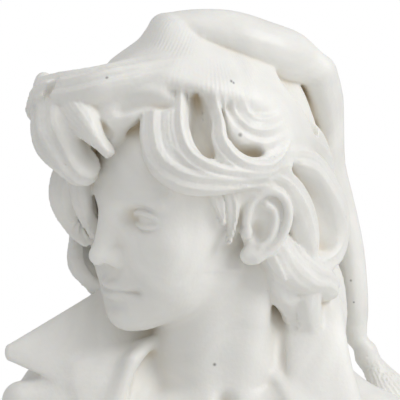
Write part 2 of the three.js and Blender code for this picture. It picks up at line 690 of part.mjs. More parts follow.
const FORELOCK = [
  { path: [[26, 34, 122], [15, 58, 124], [6, 76, 123], [-5, 91, 119], [-18, 101, 116], [-34, 108, 113],
    [-47, 112, 108], [-54, 112, 96]], wide: 17, thick: 15, tip: 0.85, root: 0.6, grooves: 3 },
  { path: [[14, 60, 108], [4, 76, 102], [-8, 88, 94], [-22, 94, 84]], wide: 20, thick: 18 },
  { path: [[-20, 80, 96], [-30, 88, 82], [-34, 90, 66], [-34, 88, 54]], wide: 22, thick: 16 },
  { path: [[30, 60, 112], [22, 74, 104], [14, 82, 92], [8, 84, 80]], wide: 8, thick: 8, tip: 0.4 },
];

// The thin crescent over the brow, and the full curl under it.
const CURLS = [
  { path: [[-34, 108, 106], [-18, 113, 102], [-4, 114, 93], [6, 112, 82], [13, 105, 72]], wide: 11,
    thick: 12, tip: 0.5, grooves: 2 },
  { path: [[-40, 104, 98], [-37, 109, 88], [-32, 112, 78], [-25, 113, 69], [-18, 111, 61], [-13, 108,
    55]], wide: 22, thick: 20, tip: 0.6, root: 0.8, grooves: 3 },
  { path: [[-50, 104, 93], [-50, 109, 82], [-46, 111, 71], [-38, 112, 63], [-30, 110, 57]], wide: 15,
    thick: 15 },
];

const FALLING = [
  { path: [[-40, 84, 62], [-47, 92, 46], [-50, 96, 32], [-50, 96, 16], [-44, 92, 0], [-36, 86, -12]],
    wide: 14, thick: 12 },
  { path: [[-28, 86, 52], [-32, 91, 38], [-31, 91, 22], [-28, 89, 8], [-22, 85, -6]], wide: 10, thick: 9
    },
  { path: [[-54, 70, 60], [-62, 76, 40], [-64, 78, 22], [-60, 76, 4], [-52, 74, -12]], wide: 14, thick:
    13 },
  { path: [[62, 34, 50], [65, 30, 38], [66, 25, 24], [66, 22, 10]], wide: 6, thick: 5 },
  { path: [[66, 24, 48], [69, 18, 36], [69, 14, 22], [68, 14, 6], [67, 16, -6]], wide: 5.5, thick: 5 },
];

// The full lock below the ear, and the hair behind it.
const NAPE = [
  { path: [[70, -26, -14], [76, -38, -32], [80, -53, -44], [80, -68, -52], [79, -78, -60]], wide: 20,
    thick: 15, tip: 0.7, grooves: 3 },
  { path: [[68, -34, -34], [69, -38, -54], [71, -46, -70], [76, -50, -88]], wide: 15, thick: 12, tip:
    0.25, grooves: 3 },
  { path: [[74, -60, -52], [73, -64, -76], [72, -70, -110]], wide: 20, thick: 13, tip: 0.8 },
  { path: [[34, -104, -44], [48, -108, -64], [60, -104, -88], [66, -98, -112], [66, -94, -140]], wide:
    17, thick: 13, tip: 0.9 },
  { path: [[40, -66, -20], [46, -72, -48], [52, -78, -76], [56, -82, -104]], wide: 26, thick: 22, tip:
    0.6 },
];

// Hollows drilled between the locks, on the skull and in the forelock.
const HOLLOWS = [
  { path: [[60, 54, 26], [61, 45, 22], [62, 37, 16], [63, 33, 16]], wide: 9, deep: 11 },
  { path: [[75, 43, 24], [76, 36, 20], [80, 32, 18], [88, 30, 22]], wide: 4.5, deep: 10 },
  { path: [[112, 19, 26], [121, 10, 29], [127, 0, 31], [129, -8, 33]], wide: 4.5, deep: 10 },
];

const FORELOCK_HOLLOWS = [
  { path: [[-13, 109, 103], [3, 105, 94], [12, 98, 82]], wide: 6, deep: 9 },
  { path: [[-38, 114, 119], [-34, 119, 112], [-33, 119, 105]], wide: 5, deep: 6 },
];

function workHair(stone) {
  const hair = stone.spare();
  hair.add(headEgg(0, -24, 46, [80, 88, 74]), 2);
  hair.add(headEgg(0, -20, 62, [86, 88, 62]), 10);
  hair.add(headEgg(0, 62, 112, [42, 24, 17]), 8);
  hair.add(headEgg(-14, 82, 88, [26, 18, 24]), 10);
  hair.add(headEgg(0, -50, -6, [62, 50, 56]), 16);
  for (const { path, ...size } of COMBED) hair.add(lock(path.map(overSkull), size), 5);
  for (const { path, ...size } of [...FORELOCK, ...FALLING])
    hair.add(lock(path.map((p) => inHead(...p)), size), 3);
  for (let row = 0; row < 4; row++)
    for (let n = 0; n < 7; n++) {
      if (row === 3 && n < 2) continue; // short behind the far cheek
      const round = -58 - n * 21 - (row % 2) * 10;
      const top = 52 - row * 25;
      const swing = 7 + 3 * Math.sin(2.4 * n + row);
      const path = [[round + 4, top + 10, 8], [round - swing, top + 1, 20],
        [round - 0.4 * swing, top - 12, 25],
        [round + swing, top - 22, 24], [round + 1.2 * swing, top - 32, 15]];
      hair.add(lock(path.map(overSkull), { wide: 18, thick: 11, tip: 0.5 }), 3);
    }
  hair.add(headEgg(58, -76, -6, [20, 28, 44]), 6);
  const drilled = [
    ...HOLLOWS.map((hollow) => ({ ...hollow, path: hollow.path.map(overSkull) })),
    ...FORELOCK_HOLLOWS.map((hollow) => ({ ...hollow, path: hollow.path.map((p) => inHead(...p)) })),
  ];
  for (const { path, wide, deep } of drilled) {
    const drill = {
      wide: (t) => wide * mix(0.5, 1, ramp(t, 0, 0.6)),
      thick: () => deep,
      outward: (place) => place.clone().sub(CROWN).setZ(Math.max(0, place.z - CROWN.z)),
    };
    hair.carve(strand(path, drill), 4);
  }
  for (const { path, ...size } of [...CURLS, ...NAPE])
    hair.add(lock(path.map((p) => inHead(...p)), size), 4);
  return hair;
}

// ---------------------------------------------------------------- the whole block

function sculpt() {
  const low = V(-BUST.halfWidth, -BUST.front, -12);
  const high = V(BUST.halfWidth, BUST.back, BUST.height);
  const stone = new Stone(low, high, GRAIN);
  stone.join(workShirt(stone), 2);
  workNeck(stone);
  workCollar(stone);
  stone.join(workHead(stone), 8);
  stone.join(workHair(stone), 3);
  stone.join(workDome(stone), 12);
  openGap(stone);
  stone.join(workTail(stone), 1.5);
  return stone;
}

// ---------------------------------------------------------------- the finished solid

// A three.js geometry as a manifold-3d solid.
function solidOf(wasm, geometry) {
  const bare = new THREE.BufferGeometry().setAttribute("position", geometry.getAttribute("position"));
  bare.setIndex(geometry.index);
  const merged = mergeVertices(bare, 1e-4);
  return new wasm.Manifold(new wasm.Mesh({
    numProp: 3,
    vertProperties: merged.getAttribute("position").array,
    triVerts: new Uint32Array(merged.index.array),
  }));
}

function geometryOf(corners, triangles) {
  const geometry = new THREE.BufferGeometry();
  geometry.setAttribute("position", new THREE.Float32BufferAttribute(corners.flatMap((c) => c.toArray()), 3));
  geometry.setIndex(triangles.flat());
  return geometry;
}

const wasm = await Module();
wasm.setup();
const thinned = thinOut(sculpt().surface(), FACETS);
const aboveTable = new THREE.BoxGeometry(2 * BUST.halfWidth, 2 * BUST.halfWidth, BUST.height);
aboveTable.translate(0, 0, BUST.height / 2);
const whole = solidOf(wasm, geometryOf(thinned.corners, thinned.triangles));
const cut = whole.intersect(solidOf(wasm, aboveTable));
const bodies = cut.decompose().sort((a, b) => b.volume() - a.volume());
const carved = bodies[0].getMesh();
const finished = new THREE.BufferGeometry();
finished.setAttribute("position", new THREE.BufferAttribute(carved.vertProperties, 3));
finished.setIndex(new THREE.BufferAttribute(carved.triVerts, 1));
finished.computeVertexNormals();
const bust = new THREE.Mesh(finished, MARBLE);
bust.name = "marble_bust";

const root = new THREE.Group();
root.add(bust);
export default root;
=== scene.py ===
"""Marble bust of a curly-haired youth in a long fisherman's cap.

The block is worked here with the same forms as its solid, on a finer grid, so that the lids, the hair and
the tassel get their chisel marks. Millimetres while carving, metres in the scene.
"""

import math

import bpy
import numpy as np
import openvdb
from mathutils import Matrix, Vector


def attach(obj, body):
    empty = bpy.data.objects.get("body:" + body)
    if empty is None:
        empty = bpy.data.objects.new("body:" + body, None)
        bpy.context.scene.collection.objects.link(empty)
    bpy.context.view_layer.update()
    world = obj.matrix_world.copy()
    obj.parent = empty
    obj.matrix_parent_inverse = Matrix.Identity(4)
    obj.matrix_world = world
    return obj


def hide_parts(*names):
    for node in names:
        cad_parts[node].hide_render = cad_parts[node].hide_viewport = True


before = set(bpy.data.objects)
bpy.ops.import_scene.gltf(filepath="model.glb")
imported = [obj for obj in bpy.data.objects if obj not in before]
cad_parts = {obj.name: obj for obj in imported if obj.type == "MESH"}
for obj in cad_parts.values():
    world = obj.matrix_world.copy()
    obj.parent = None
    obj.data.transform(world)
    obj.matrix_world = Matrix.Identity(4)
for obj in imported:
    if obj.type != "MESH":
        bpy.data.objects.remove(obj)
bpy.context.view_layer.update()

# ---------------------------------------------------------------- sizes, in millimetres

GRAIN = 1.35  # the grid the stone is worked on
FINE_FACES = 190_000  # of the finished skin
FAR = 60  # a distance that stands for any farther one

HEAD_HEIGHT = 202  # chin to crown, a youth's
BLOCK_LOW = np.array([-200.0, -165.0, -6.0])
BLOCK_HIGH = np.array([200.0, 130.0, 495.0])

HEAD_AT = np.array([-23.0, -15.0, 309.0])  # midway between the ears
HEAD_TURN = 52  # degrees, towards the right shoulder
HEAD_NOD = 9
HEAD_LEAN = 11  # towards the left shoulder
SKULL_HALF, SKULL_FRONT, SKULL_BACK, SKULL_TOP = 70, 89, 93, 112

THIRD = HEAD_HEIGHT * 0.29  # brow to nose base, and nose base to chin
BROW = 30
NOSE_BASE = BROW - THIRD
CHIN = NOSE_BASE - THIRD
EYE_LINE = 13
MOUTH_LINE = NOSE_BASE - THIRD * 0.36

FOLD_DEPTH = 2.6  # of the shirt's folds
MARK_WIDTH = 3.8  # of a chisel mark in the hair

CREASE_REACH = 4.5  # how far round a place is felt for closeness, for the creases
HOLLOW_REACH = 12  # and for the hollows

# Grey inclusions in the stone: where, and how far each reaches.
INCLUSIONS = [
    ((8, -99, 415), 2.1), ((10, -99, 414), 1.9), ((15, -101, 372), 2.8), ((-91, -110, 417), 2.0),
    ((-5, -47, 184), 2.2), ((114, 38, 250), 1.7), ((117, 42, 231), 1.4),
    ((-50, 79, 350), 2.4), ((0, 54, 420), 2.2), ((60, 66, 200), 2.6),
]

# ---------------------------------------------------------------- small tools


def V(x, y, z):
    return np.array([x, y, z], dtype=float)


def mix(a, b, t):
    return a + (b - a) * t


def ramp(t, start, end):
    s = min(1.0, max(0.0, (t - start) / (end - start)))
    return s * s * (3 - 2 * s)


def turn_about(axis, degrees):
    """Rotation matrix about x, y or z."""
    c, s = math.cos(math.radians(degrees)), math.sin(math.radians(degrees))
    i, j = {"x": (1, 2), "y": (2, 0), "z": (0, 1)}[axis]
    m = np.eye(3)
    m[i, i] = m[j, j] = c
    m[i, j], m[j, i] = -s, s
    return m


HEAD = turn_about("z", -HEAD_TURN) @ turn_about("x", HEAD_NOD) @ turn_about("y", HEAD_LEAN)
WORLD = np.eye(3)


def in_head(left, forward, up):
    """A place in the head: millimetres to its left, forward of the ears, and above them."""
    return HEAD_AT + HEAD @ V(left, -forward, up)


def over_skull(place):
    """A place over the skull: degrees round from the brow, degrees up, millimetres off the bone."""
    around, up, rise = place
    side = math.cos(math.radians(up)) * math.sin(math.radians(around))
    ahead = math.cos(math.radians(up)) * math.cos(math.radians(around))
    depth = SKULL_FRONT if ahead > 0 else SKULL_BACK
    return in_head(side * (SKULL_HALF + rise), ahead * (depth + rise),
                   math.sin(math.radians(up)) * (SKULL_TOP + rise))


def head_axes(nod=0, lean=0, turn=0):
    """Axes of a form turned about the head's own axes, in degrees."""
    return HEAD @ turn_about("z", turn) @ turn_about("y", lean) @ turn_about("x", nod)


# ---------------------------------------------------------------- forms
# A form is a box, low to high, and a distance that is negative inside it.


class Egg:
    """An ellipsoid with its radii along its three axes."""

    def __init__(self, centre, radii, axes=WORLD):
        self.centre, self.radii, self.axes = centre, np.array(radii, dtype=float), axes
        reach = np.sqrt(((axes * self.radii) ** 2).sum(axis=1))
        self.low, self.high = centre - reach, centre + reach

    def distance(self, x, y, z):
        dx, dy, dz = (w - c for w, c in zip((x, y, z), self.centre.astype(np.float32)))
        near2 = slope2 = 0
        for k in range(3):
            a, r = self.axes[:, k].astype(np.float32), np.float32(self.radii[k])
            along = (dx * a[0] + dy * a[1] + dz * a[2]) / r
            near2 = near2 + along * along
            slope2 = slope2 + (along / r) ** 2
        near = np.sqrt(near2)
        return near * (near - 1) / np.sqrt(np.maximum(slope2, 1e-12))


class Beneath:
    """Everything under a sloping plane through a place in the head, its normal along the head's axes."""

    def __init__(self, place, left, forward, up):
        self.place = place
        normal = HEAD @ V(left, -forward, up)
        self.up = (normal / np.linalg.norm(normal)).astype(np.float32)
        self.low, self.high = place - 1000, place + 1000  # all of the block

    def distance(self, x, y, z):
        dx, dy, dz = (w - c for w, c in zip((x, y, z), self.place.astype(np.float32)))
        return dx * self.up[0] + dy * self.up[1] + dz * self.up[2]


class Bar:
    """A round bar from a to b whose radius goes from ra to rb."""

    def __init__(self, a, b, ra, rb=None):
        self.a, self.along, self.ra, self.rb = a, b - a, ra, ra if rb is None else rb
        self.low = np.minimum(a - self.ra, b - self.rb)
        self.high = np.maximum(a + self.ra, b + self.rb)

    def distance(self, x, y, z):
        e = self.along.astype(np.float32)
        dx, dy, dz = (w - c for w, c in zip((x, y, z), self.a.astype(np.float32)))
        t = np.clip((dx * e[0] + dy * e[1] + dz * e[2]) / np.float32(e @ e), 0, 1)
        gap = np.sqrt((dx - t * e[0]) ** 2 + (dy - t * e[1]) ** 2 + (dz - t * e[2]) ** 2)
        return gap - mix(np.float32(self.ra), np.float32(self.rb), t * t * (3 - 2 * t))


def smooth_path(path, steps):
    """Evenly spaced places on a smooth curve through a path, and its direction at each."""
    points = np.array(path, dtype=float)
    ends = [2 * points[0] - points[1], *points, 2 * points[-1] - points[-2]]
    fine = []
    for p0, p1, p2, p3 in zip(ends, ends[1:], ends[2:], ends[3:]):
        d0, d1, d2 = (max(np.linalg.norm(b - a) ** 0.5, 1e-4) for a, b in ((p0, p1), (p1, p2), (p2, p3)))
        leave = ((p1 - p0) / d0 - (p2 - p0) / (d0 + d1) + (p2 - p1) / d1) * d1
        arrive = ((p2 - p1) / d1 - (p3 - p1) / (d1 + d2) + (p3 - p2) / d2) * d1
        for t in np.arange(0, 1, 1 / 24):
            t2, t3 = t * t, t * t * t
            fine.append((2 * t3 - 3 * t2 + 1) * p1 + (t3 - 2 * t2 + t) * leave
                        + (3 * t2 - 2 * t3) * p2 + (t3 - t2) * arrive)
    fine = np.array([*fine, points[-1]])
    run = np.concatenate([[0], np.cumsum(np.linalg.norm(np.diff(fine, axis=0), axis=1))])
    at = np.linspace(0, run[-1], steps + 1)
    places = np.stack([np.interp(at, run, fine[:, k]) for k in range(3)], axis=1)
    heading = np.gradient(places, axis=0)
    return places, heading / np.linalg.norm(heading, axis=1)[:, None]


class Strand:
    """A strand swept along a smooth path, with an oval section: wide(t) is half its width and thick(t) half
    its thickness. Its flat side faces outward(place). Grooves and finer chisel marks run along it, so many
    across its width, and gather where it tapers."""

    STEPS = 20  # short lengths that the strand is made of
    NEARBY = 11  # how far round a length its distance is worked out

    def __init__(self, path, wide, thick, outward, grooves=0, groove_depth=0, marks=0, mark_depth=0):
        self.places, headings = smooth_path(path, self.STEPS)
        self.grooves, self.groove_depth = grooves, groove_depth
        self.marks, self.mark_depth = marks, mark_depth
        self.w = np.array([wide(i / self.STEPS) for i in range(self.STEPS + 1)])
        self.h = np.array([thick(i / self.STEPS) for i in range(self.STEPS + 1)])
        outs = np.array([outward(p) for p in self.places])
        outs = outs - headings * (outs * headings).sum(axis=1)[:, None]
        self.out = outs / np.linalg.norm(outs, axis=1)[:, None]
        self.side = np.cross(headings, self.out)
        reach = np.maximum(self.w, self.h)[:, None] + 1.5
        self.low = (self.places - reach).min(axis=0)
        self.high = (self.places + reach).max(axis=0)
        self.phase = float(self.places[0] @ V(0.31, 0.17, 0.23))  # no two strands are marked alike

    def distance(self, x, y, z):
        shape = np.broadcast_shapes(x.shape, y.shape, z.shape)
        best = np.full(shape, 1e9, np.float32)
        result = np.full(shape, FAR, np.float32)
        for i in range(self.STEPS):
            a, b = self.places[i], self.places[i + 1]
            reach = max(self.w[i], self.w[i + 1], self.h[i], self.h[i + 1]) + self.NEARBY
            window = []  # the cells near this length, whose distances are worth the work
            for line, lo, hi in zip((x, y, z), np.minimum(a, b) - reach, np.maximum(a, b) + reach):
                flat = line.ravel()
                window.append(slice(int(np.searchsorted(flat, lo)), int(np.searchsorted(flat, hi))))
            window = tuple(window)
            if any(s.start >= s.stop for s in window):
                continue
            d, gap = self._section(i, x[window[0]], y[:, window[1]], z[:, :, window[2]])
            closer = gap < best[window]
            best[window] = np.where(closer, gap, best[window])
            result[window] = np.where(closer, d, result[window])
        return result

    def _section(self, i, x, y, z):
        """Distances from one length of the strand, and the squared distances from its middle line."""
        a = self.places[i].astype(np.float32)
        e = (self.places[i + 1] - self.places[i]).astype(np.float32)
        dx, dy, dz = x - a[0], y - a[1], z - a[2]
        t = np.clip((dx * e[0] + dy * e[1] + dz * e[2]) / (e @ e), 0, 1)
        dx, dy, dz = dx - t * e[0], dy - t * e[1], dz - t * e[2]
        gap = dx * dx + dy * dy + dz * dz
        w, h = (mix(np.float32(s[i]), np.float32(s[i + 1]), t) for s in (self.w, self.h))
        side, out = (s.astype(np.float32) for s in (self.side, self.out))
        u = sum(d * mix(side[i, k], side[i + 1, k], t) for k, d in enumerate((dx, dy, dz)))
        v = sum(d * mix(out[i, k], out[i + 1, k], t) for k, d in enumerate((dx, dy, dz)))
        rest2 = np.maximum(0, gap - u * u - v * v)
        near = np.sqrt((u / w) ** 2 + (v / h) ** 2 + rest2 / (h * h))
        slope = np.sqrt((u / (w * w)) ** 2 + (v / (h * h)) ** 2 + rest2 / h ** 4)
        d = near * (near - 1) / np.maximum(slope, 1e-6)
        if self.grooves or self.marks:
            across = u / w
            along = (i + t) / self.STEPS
            depth = 0
            if self.grooves:
                depth = self.groove_depth * np.cos(math.pi * self.grooves * across + self.phase
                                                   + 0.8 * np.sin(4 * along + self.phase))
            if self.marks:
                wander = 2 * self.phase + 1.6 * np.sin(5 * along + self.phase) + 0.7 * np.sin(11 * along)
                uneven = 1.1 * np.sin(2.3 * across + self.phase)
                depth = depth + self.mark_depth * np.cos(math.pi * self.marks * across + wander + uneven)
            d = d - depth * np.minimum(1, near)
        return d, gap


class Stone:
    """A grid of distances. Adding and carving only touch the cells around a form."""

    NEARBY = 5  # how far round a form, beyond its blend, its cells are touched

    def __init__(self):
        self.count = np.ceil((BLOCK_HIGH - BLOCK_LOW) / GRAIN).astype(int) + 1
        self.lines = [np.float32(low) + np.float32(GRAIN) * np.arange(count, dtype=np.float32)
                      for low, count in zip(BLOCK_LOW, self.count)]
        self.cells = np.full(self.count, FAR, np.float32)

    def near(self, form, margin):
        """The part of the grid round a form, and the form's distances there."""
        first = np.maximum(0, np.floor((form.low - margin - BLOCK_LOW) / GRAIN)).astype(int)
        last = np.minimum(self.count, np.ceil((form.high + margin - BLOCK_LOW) / GRAIN) + 1).astype(int)
        part = tuple(slice(f, l) for f, l in zip(first, last))
        x, y, z = (line[s] for line, s in zip(self.lines, part))
        return part, form.distance(x[:, None, None], y[None, :, None], z[None, None, :])

    def add(self, form, blend=2.0):
        """Joins a form to the stone, filling the corner between them over about blend millimetres."""
        part, d = self.near(form, blend + self.NEARBY)
        self.cells[part] = join(self.cells[part], d, blend)

    def carve(self, form, blend=2.0):
        """Takes a form out of the stone, rounding the edge over about blend millimetres."""
        part, d = self.near(form, blend + self.NEARBY)
        self.cells[part] = -join(-self.cells[part], d, blend)


def join(a, b, blend):
    """Two fields of distances as one, with the corner between them filled."""
    h = np.maximum(blend - np.abs(a - b), 0) / blend
    return np.minimum(a, b) - h * h * (blend / 4)


# ---------------------------------------------------------------- head and neck


def head_egg(left, forward, up, radii):
    return Egg(in_head(left, forward, up), radii, HEAD)


def head_bar(a, b, ra, rb=None):
    return Bar(in_head(*a), in_head(*b), ra, rb)


def work_head():
    """The whole face is worked in its own stone, so that its sockets and grooves cannot cut the hair."""
    head = Stone()

    # skull, forehead and the tapering mask of the face
    head.add(head_egg(0, -4, 36, [SKULL_HALF, 88, 76]), 2)
    head.add(head_egg(0, 34, 42, [60, 53, 52]), 20)
    head.add(head_egg(0, 34, -22, [50, 49, 62]), 26)
    for side in (-1, 1):
        head.add(head_bar([side * 43, 6, -40], [side * 15, 60, CHIN + 17], 13, 13), 22)  # jaw
        head.add(head_egg(side * 36, 52, -14, [21, 21, 22]), 24)  # cheek
        head.add(head_egg(side * 28, 48, -42, [24, 24, 24]), 20)
        head.carve(head_egg(side * 86, 56, 26, [18, 30, 26]), 26)  # temple
    head.add(head_egg(0, 71, CHIN + 15, [17, 15, 15]), 14)  # chin
    head.add(head_egg(0, 67, MOUTH_LINE + 2, [26, 20, 21]), 14)  # muzzle

    for side in (-1, 1):
        work_eye(head, side)

    # nose
    head.add(head_bar([0, 83, BROW - 5], [0, 96.5, NOSE_BASE + 11], 7, 7.5), 14)
    head.add(head_egg(0, 97, NOSE_BASE + 9, [8, 9.5, 8]), 5)
    for side in (-1, 1):
        head.add(head_egg(side * 9.5, 87, NOSE_BASE + 6.5, [5.8, 9, 6.6]), 6)
        head.carve(head_egg(side * 5.6, 95, NOSE_BASE + 0.5, [2.8, 5, 3]), 3)

    # lips, the line between them, and the hollows above and below
    for side in (-1, 1):
        upper = [side * 3.5, 87, MOUTH_LINE + 4.4], [side * 21, 76, MOUTH_LINE + 0.6]
        head.add(head_bar(*upper, 4.9, 2), 3)
        lower = [side * 3, 86, MOUTH_LINE - 5.8], [side * 17, 78.5, MOUTH_LINE - 3]
        head.add(head_bar(*lower, 5.6, 2.2), 3.5)
        head.carve(head_egg(side * 25, 80, MOUTH_LINE, [2.5, 3, 2.5]), 8)
    between = [in_head(s, 92.5 - 0.026 * s * s, MOUTH_LINE - 0.6 + (0.8 if abs(s) == 12 else 0))
               for s in (-23, -12, 0, 12, 23)]
    head.carve(Strand(between, lambda t: 1.3, lambda t: 3.4, lambda p: HEAD[:, 1]), 2)
    head.carve(head_bar([-10, 89, MOUTH_LINE - 14.5], [10, 89, MOUTH_LINE - 14.5], 4), 9)
    head.carve(head_bar([0, 92, NOSE_BASE - 3], [0, 93, MOUTH_LINE + 10], 2.2), 5)

    for side in (-1, 1):
        work_ear(head, side)
    return head


def work_eye(head, side):
    """A ball deep in its socket under the brow, and two lids that close over it towards the corners."""

    def on_ball(across, up, reach):
        """Degrees outward from straight ahead, degrees up, and millimetres from the ball's middle."""
        a, u = math.radians(across), math.radians(up)
        outward, forward = reach * math.cos(u) * math.sin(a), reach * math.cos(u) * math.cos(a)
        return in_head(side * (30 + outward), 62 + forward, EYE_LINE + reach * math.sin(u))

    def lid(places, wide, thick):
        path = [on_ball(across, up, 15.8) for across, up in places]
        head.add(Strand(path, lambda t: wide * (0.55 + 0.45 * math.sin(math.pi * t)), lambda t: thick,
                        lambda p: p - on_ball(0, 0, 0)), 1)

    head.add(head_bar([side * 12, 83.5, BROW - 3], [side * 46, 68.5, BROW + 1], 5.5, 4.5), 9)
    head.carve(head_egg(side * 33, 91, EYE_LINE, [23, 21.5, 13.5]), 6)
    head.add(Egg(on_ball(0, 0, 0), [17, 13.6, 14.5], HEAD), 4)
    head.carve(Egg(on_ball(10, 0, 16), [13, 6, 5], HEAD), 1.5)
    head.add(Egg(on_ball(0, 0, 0), [14.4, 14.4, 14.4]), 1)
    lid([[-52, -9], [-36, 11], [-4, 23], [34, 18], [72, -5]], 2.6, 2.8)
    lid([[-52, -9], [-28, -18], [6, -23], [42, -18], [72, -5]], 1.9, 2.2)
    crease = [[20, 84.5, 9], [25, 81.5, 11], [31, 79.5, 12], [38, 77, 11], [45, 73, 7.5]]
    head.carve(Strand([in_head(side * left, forward, EYE_LINE + up) for left, forward, up in crease],
                      lambda t: 0.4 + math.sin(math.pi * t), lambda t: 0.4 + 2.4 * math.sin(math.pi * t),
                      lambda p: HEAD[:, 1]), 2)


def work_ear(head, side):
    """A tilted disc, hollowed, with a rolled rim, an inner fold, the tragus and the lobe."""
    axes = head_axes(-10, 0, side * -30)
    out, back, up = axes.T
    middle = in_head(side * (SKULL_HALF + 6), -12, 3)

    def in_ear(o, b, u):
        return middle + side * o * out + b * back + u * up

    head.add(Egg(in_ear(-3, 0, 3), [8, 19, 27], axes), 5)
    head.carve(Egg(in_ear(8, 0, 3), [8, 14, 21], axes), 4)
    rim = [[-15, 2], [-14, 17], [-4, 29], [10, 28], [19, 14], [18, -4], [10, -19], [0, -28]]
    head.add(Strand([in_ear(4, b, u) for b, u in rim], lambda t: 3.6, lambda t: 3.8, lambda p: out), 3)
    fold = [[-1, 18], [6, 14], [9, 4], [7, -8], [1, -16]]
    head.add(Strand([in_ear(3, b, u) for b, u in fold], lambda t: 3, lambda t: 3.4, lambda p: out), 4)
    head.carve(Egg(in_ear(3, -3, -5), [7, 7, 9], axes), 4)
    head.add(Egg(in_ear(4, -13, -7), [5, 5, 6], axes), 4)
    head.add(Egg(in_ear(1, -6, -26), [4.6, 8.5, 8.5], axes), 5)


# ---------------------------------------------------------------- body and shirt


def body_forms(swell):
    """Chest, shoulder blades, shoulders and the stumps of the arms, all swollen by so many millimetres."""
    forms = [(Egg(V(0, 6, 70), [118 + swell, 76 + swell, 112 + swell]), 30),
             (Egg(V(0, 40, 106), [104 + swell, 56 + swell, 86 + swell]), 30)]
    for side in (-1, 1):
        forms.append((Bar(V(side * 22, 30, 196), V(side * 124, 22, 106), 32 + swell, 34 + swell), 28))
        forms.append((Bar(V(side * 132, 18, 98), V(side * 118, 6, -20), 38 + swell, 38 + swell), 26))
        forms.append((Egg(V(side * 52, -34, 84), [56 + swell, 46 + swell, 56 + swell]), 30))
    return forms


def work_neck(stone):
    """Bare shoulders, the neck, its two sinews down to the notch, and the collar bones."""
    for form, blend in body_forms(0):
        stone.add(form, blend)
    stone.add(Bar(V(-14, -2, 262), V(0, 12, 166), 49, 57), 12)
    notch = V(4, -44, 150)
    stone.add(Bar(V(44, 16, 246), V(58, 8, 180), 24, 28), 14)
    for side in (-1, 1):
        behind_ear = in_head(side * 52, -30, -34)
        stone.add(Bar(behind_ear, notch + V(side * 12, 7, 0), 15, 9), 18)
        stone.add(Bar(notch + V(side * 14, 3, -3), V(side * 96, -24, 140), 7, 9), 16)  # clavicle
    stone.carve(Egg(notch + V(0, -5, 0), [6, 6, 8]), 10)


def work_shirt(stone):
    """The shirt's cloth over the shoulders, open at the neck."""
    for form, blend in body_forms(10):
        stone.add(form, blend)
    # the cloth hangs in folds that fan out from the neck
    x, y, z = np.meshgrid(*stone.lines, indexing="ij", sparse=True)
    below = np.maximum(0, 236 - z)
    away = np.sqrt(x * x + below * below)
    fan = np.arctan2(x, below + 20) * 11 + 1.3 * np.sin(away / 34 + np.sign(y)) + 0.9 * np.sin(y / 30)
    stone.cells -= FOLD_DEPTH * (np.cos(fan) - 0.4 * np.cos(2 * fan)) * np.clip((away - 60) / 60, 0, 1)
    stone.carve(Egg(V(-14, -64, 140), [72, 84, 84]), 6)


# ---------------------------------------------------------------- the collar


def work_collar(stone):
    """The shirt's wide collar: a flap each side, joined round the back."""
    # the shirt is full under the right flap, and gathered
    stone.add(Egg(V(-116, -12, 146), [56, 38, 54]), 16)
    for n in range(6):
        fan = math.radians(199 + 10.5 * n)
        reach = V(math.cos(fan), -0.25, math.sin(fan)) * 66
        root = V(-58 - 3 * n, -20 - 5 * n, 202 - 3 * n)
        stone.add(Bar(root, root + reach, 2.5, 5), 10)
    # the right flap stands out over the shoulder, down to its point
    spine = [V(-42, 2, 198), V(-90, -22, 197), V(-136, -31, 195), V(-175, -36, 193)]
    stone.add(Strand(spine, lambda t: 58 * min(1, (1.1 - t) / 0.76),
                     lambda t: mix(8, 4.5, t), lambda p: V(-0.25, -0.93, 0.3)), 5)
    stone.add(Bar(V(-70, -14, 146), V(-166, -32, 153), 24, 16), 8)  # a fold of the sleeve under it
    # the left flap stands up by the neck, its front edge hanging straight
    left = [V(76, 14, 258), V(79, -4, 232), V(81, -18, 204), V(84, -30, 176), V(90, -44, 146),
            V(94, -54, 110)]
    stone.add(Strand(left, lambda t: mix(22, 32, t), lambda t: 7, lambda p: V(0.12, -0.9, 0.3)), 5)
    back = [V(-96, 40, 204), V(-60, 66, 226), V(0, 80, 236), V(60, 62, 236), V(90, 24, 232)]
    stone.add(Strand(back, lambda t: 30, lambda t: 8, lambda p: V(p[0] / 90, (p[1] - 10) / 90, 0.3)), 8)
    # and the shirt under it puffs out over the arm
    stone.add(Egg(V(-142, -8, 116), [50, 50, 50]), 14)


# ---------------------------------------------------------------- the cap


def work_dome(cap):
    """The close part of the cap, over the head and up to its peak."""
    cap.add(head_egg(0, -14, 84, [77, 88, 63]), 2)
    cap.add(head_egg(0, 28, 100, [66, 60, 46]), 22)
    cap.add(head_bar([0, 14, 118], [0, 22, 156], 38, 15), 34)
    cap.carve(Beneath(in_head(0, 0, 103), 0, -0.36, 1), 10)


def open_recess(stone):
    """The hollow between the forelock, the cap and the sweep over the brow."""
    recess = [[44, 68, 115], [33, 78, 113], [21, 88, 106]]
    stone.carve(Strand([in_head(*p) for p in recess], lambda t: 5, lambda t: mix(15, 8, t),
                       away_from_crown), 4)


def open_gap(stone):
    """The deep hollow behind the dome, where the tail stands away from it."""
    gap = [V(60, -44, 422), V(69, -38, 407), V(75, -32, 393), V(76, -28, 381)]
    stone.carve(Strand(gap, lambda t: mix(12, 6, t), lambda t: mix(21, 10, t),
                       lambda p: V(-0.35, -0.9, 0)), 3)


